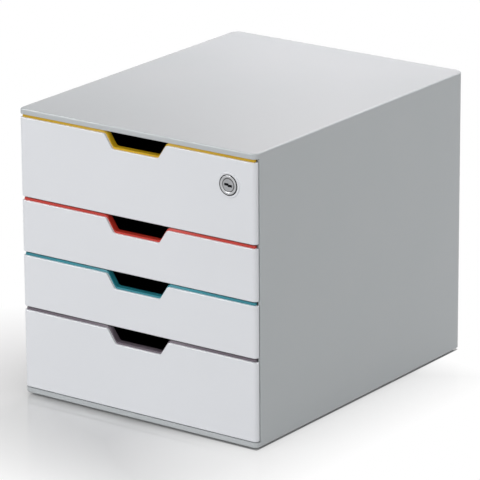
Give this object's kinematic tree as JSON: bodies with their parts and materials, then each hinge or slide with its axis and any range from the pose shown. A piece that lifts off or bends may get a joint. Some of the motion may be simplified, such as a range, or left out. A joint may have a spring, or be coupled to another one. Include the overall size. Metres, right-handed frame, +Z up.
{
  "type": "plastic drawer tower",
  "caption": "Desk-top plastic drawer tower: a moulded housing whose shallow and deep drawers slide out by finger notches, with a cam lock on the top drawer.",
  "frame": {"origin": "on the surface that the tower stands on, under the middle of the housing", "axes": "+Z up, the drawers' fronts face -Y and slide out along -Y, +X to the right as seen from the front"},
  "size_m": [0.28, 0.3574, 0.292],
  "materials": {
    "housing_plastic": "fine satin grain",
    "front_plastic": "semi-gloss",
    "yellow_plastic": "satin",
    "red_plastic": "satin",
    "teal_plastic": "satin",
    "brown_plastic": "satin",
    "tray_plastic": "satin",
    "runner_plastic": "satin",
    "foot_rubber": "matt",
    "nickel": "bright nickel plate",
    "zinc_steel": "zinc plated"
  },
  "bodies": {
    "housing": {"housing_shell": "housing_plastic", "runner_panel_left": "runner_plastic", "runner_panel_right": "runner_plastic", "foot_front_left": "foot_rubber", "foot_front_right": "foot_rubber", "foot_rear_left": "foot_rubber", "foot_rear_right": "foot_rubber"},
    "bottom_drawer": {"bottom_drawer_tray": "tray_plastic", "bottom_drawer_lining": "brown_plastic", "bottom_drawer_front": "front_plastic"},
    "third_drawer": {"third_drawer_tray": "tray_plastic", "third_drawer_lining": "teal_plastic", "third_drawer_front": "front_plastic"},
    "second_drawer": {"second_drawer_tray": "tray_plastic", "second_drawer_lining": "red_plastic", "second_drawer_front": "front_plastic"},
    "top_drawer": {"top_drawer_tray": "tray_plastic", "top_drawer_lining": "yellow_plastic", "top_drawer_front": "front_plastic", "lock_body": "nickel", "lock_nut": "zinc_steel"},
    "lock_plug_and_cam": {"lock_plug": "nickel", "lock_cam": "zinc_steel", "lock_cam_screw": "zinc_steel"}
  },
  "joints": [
    {"name": "bottom_drawer_slide", "type": "slide", "parent": "housing", "child": "bottom_drawer", "axis": [0, -1, 0], "range_m": [0, 0.26]},
    {"name": "third_drawer_slide", "type": "slide", "parent": "housing", "child": "third_drawer", "axis": [0, -1, 0], "range_m": [0, 0.26]},
    {"name": "second_drawer_slide", "type": "slide", "parent": "housing", "child": "second_drawer", "axis": [0, -1, 0], "range_m": [0, 0.26]},
    {"name": "top_drawer_slide", "type": "slide", "parent": "housing", "child": "top_drawer", "axis": [0, -1, 0], "range_m": [0, 0.26]},
    {"name": "lock_turn", "type": "hinge", "parent": "top_drawer", "child": "lock_plug_and_cam", "pos_m": [0.1092, -0.17, 0.2576], "axis": [0, 1, 0], "range_deg": [0, 90]}
  ]
}
